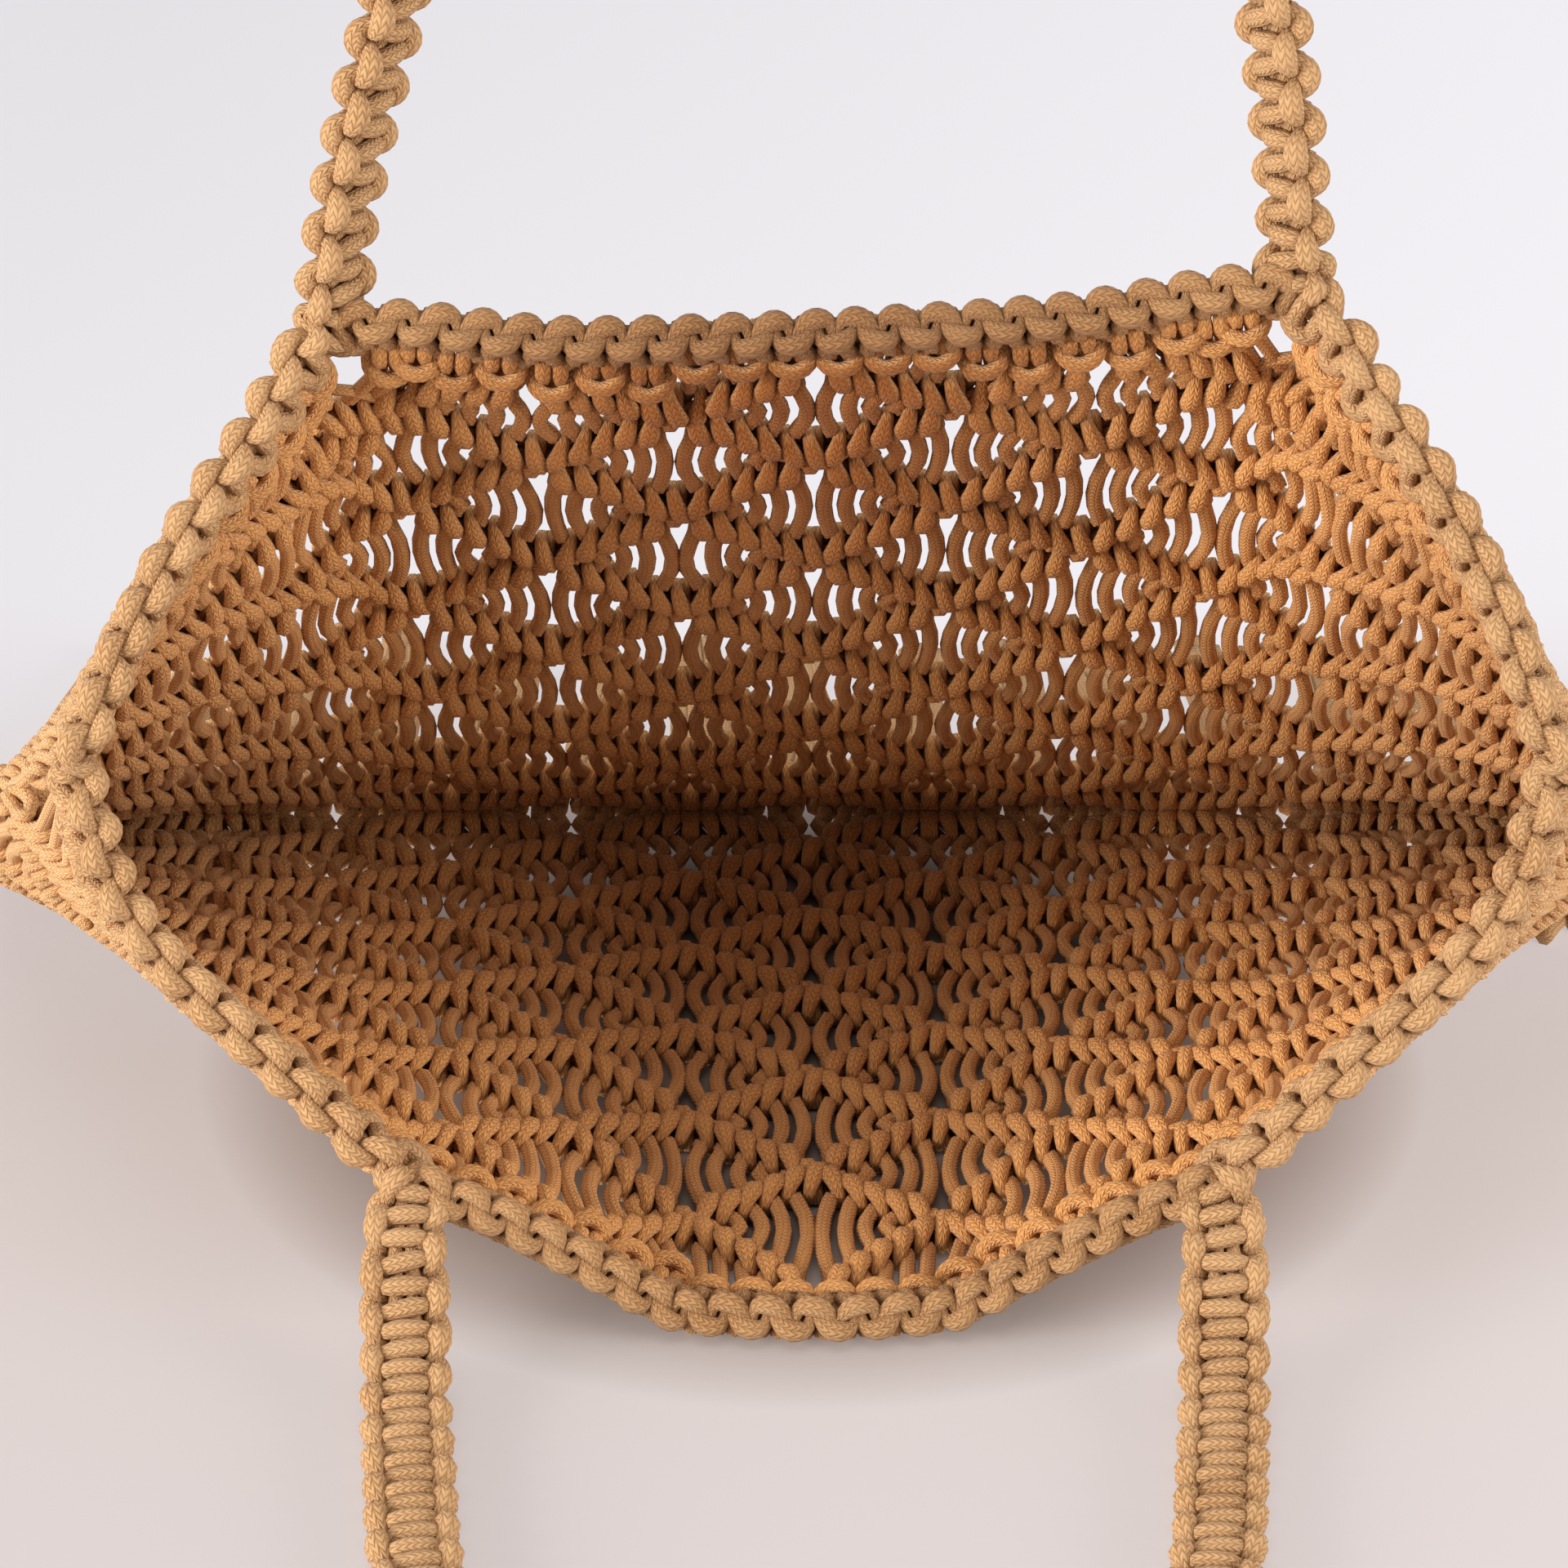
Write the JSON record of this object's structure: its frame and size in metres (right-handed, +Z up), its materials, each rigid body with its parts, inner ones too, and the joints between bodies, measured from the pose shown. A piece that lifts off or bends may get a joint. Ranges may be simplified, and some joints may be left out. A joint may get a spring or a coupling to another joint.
{
  "type": "knotted cord tote bag",
  "caption": "Tan cotton macrame tote bag lying open on its front panel, with diamond net walls, two knotted strap handles and a fringed bottom.",
  "frame": {"origin": "on the floor under the middle of the bag's box", "axes": "+X along the bag's width, +Y from the mouth to the fringe, +Z up"},
  "size_m": [0.4454, 0.5768, 0.4105],
  "materials": {
    "net_cord": "matte braided cotton cord",
    "rim_cord": "matte braided cotton cord",
    "handle_cord": "matte braided cotton cord",
    "fringe_cord": "matte braided cotton cord"
  },
  "bodies": {
    "root": {"back_panel": "net_cord", "front_panel": "net_cord", "back_rim": "rim_cord", "front_rim": "rim_cord", "back_handle": "handle_cord", "front_handle": "handle_cord", "bottom_seam": "net_cord", "fringe": "fringe_cord"}
  },
  "joints": []
}
